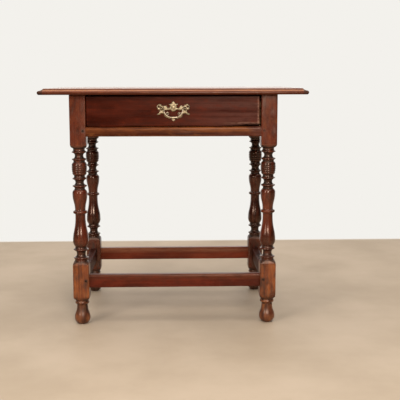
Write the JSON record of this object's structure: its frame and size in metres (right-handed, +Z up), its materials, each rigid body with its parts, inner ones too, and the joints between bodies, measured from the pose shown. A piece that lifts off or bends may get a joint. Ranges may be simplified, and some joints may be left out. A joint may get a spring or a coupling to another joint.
{
  "type": "tavern table",
  "caption": "Antique joined side table: moulded plank top, turned legs with a box stretcher, one frieze drawer with a pierced brass bail handle.",
  "frame": {"origin": "on the floor under the middle of the top", "axes": "+X to the right as one faces the drawer, +Y to the back, +Z up"},
  "size_m": [0.8, 0.526, 0.724],
  "materials": {
    "frame_wood": "waxed, worn",
    "top_wood": "polished, worn at the edge",
    "drawer_front_wood": "waxed",
    "secondary_wood": "bare, dry",
    "peg_wood": "end grain, dark",
    "brass": "aged, rubbed on the high places",
    "iron": "hand forged, dark"
  },
  "bodies": {
    "table": {"leg_front_left": "frame_wood", "leg_front_right": "frame_wood", "leg_rear_left": "frame_wood", "leg_rear_right": "frame_wood", "rail_front": "frame_wood", "rail_back": "frame_wood", "rail_left": "frame_wood", "rail_right": "frame_wood", "stretcher_front": "frame_wood", "stretcher_back": "frame_wood", "stretcher_left": "frame_wood", "stretcher_right": "frame_wood", "rail_pegs": "peg_wood", "stretcher_pegs": "peg_wood", "top_pegs": "peg_wood", "top_board_front": "top_wood", "top_board_back": "top_wood", "runner_left": "secondary_wood", "runner_right": "secondary_wood", "guide_left": "secondary_wood", "guide_right": "secondary_wood", "runner_nails": "iron", "drawer_stops": "secondary_wood"},
    "drawer": {"drawer_front": "drawer_front_wood", "drawer_side_left": "secondary_wood", "drawer_side_right": "secondary_wood", "drawer_back": "secondary_wood", "drawer_bottom_front": "secondary_wood", "drawer_bottom_back": "secondary_wood", "drawer_bottom_nails": "iron", "handle_plate": "brass", "handle_post_left": "brass", "handle_post_right": "brass", "handle_nuts": "iron"},
    "bail": {"handle_bail": "brass"}
  },
  "joints": [
    {"name": "drawer_slide", "type": "slide", "parent": "table", "child": "drawer", "axis": [0, -1, 0], "range_m": [0, 0.3]},
    {"name": "bail_swing", "type": "hinge", "parent": "drawer", "child": "bail", "pos_m": [-0.001, -0.2346, 0.6637], "axis": [-1, 0, 0], "range_deg": [-10, 180]}
  ]
}
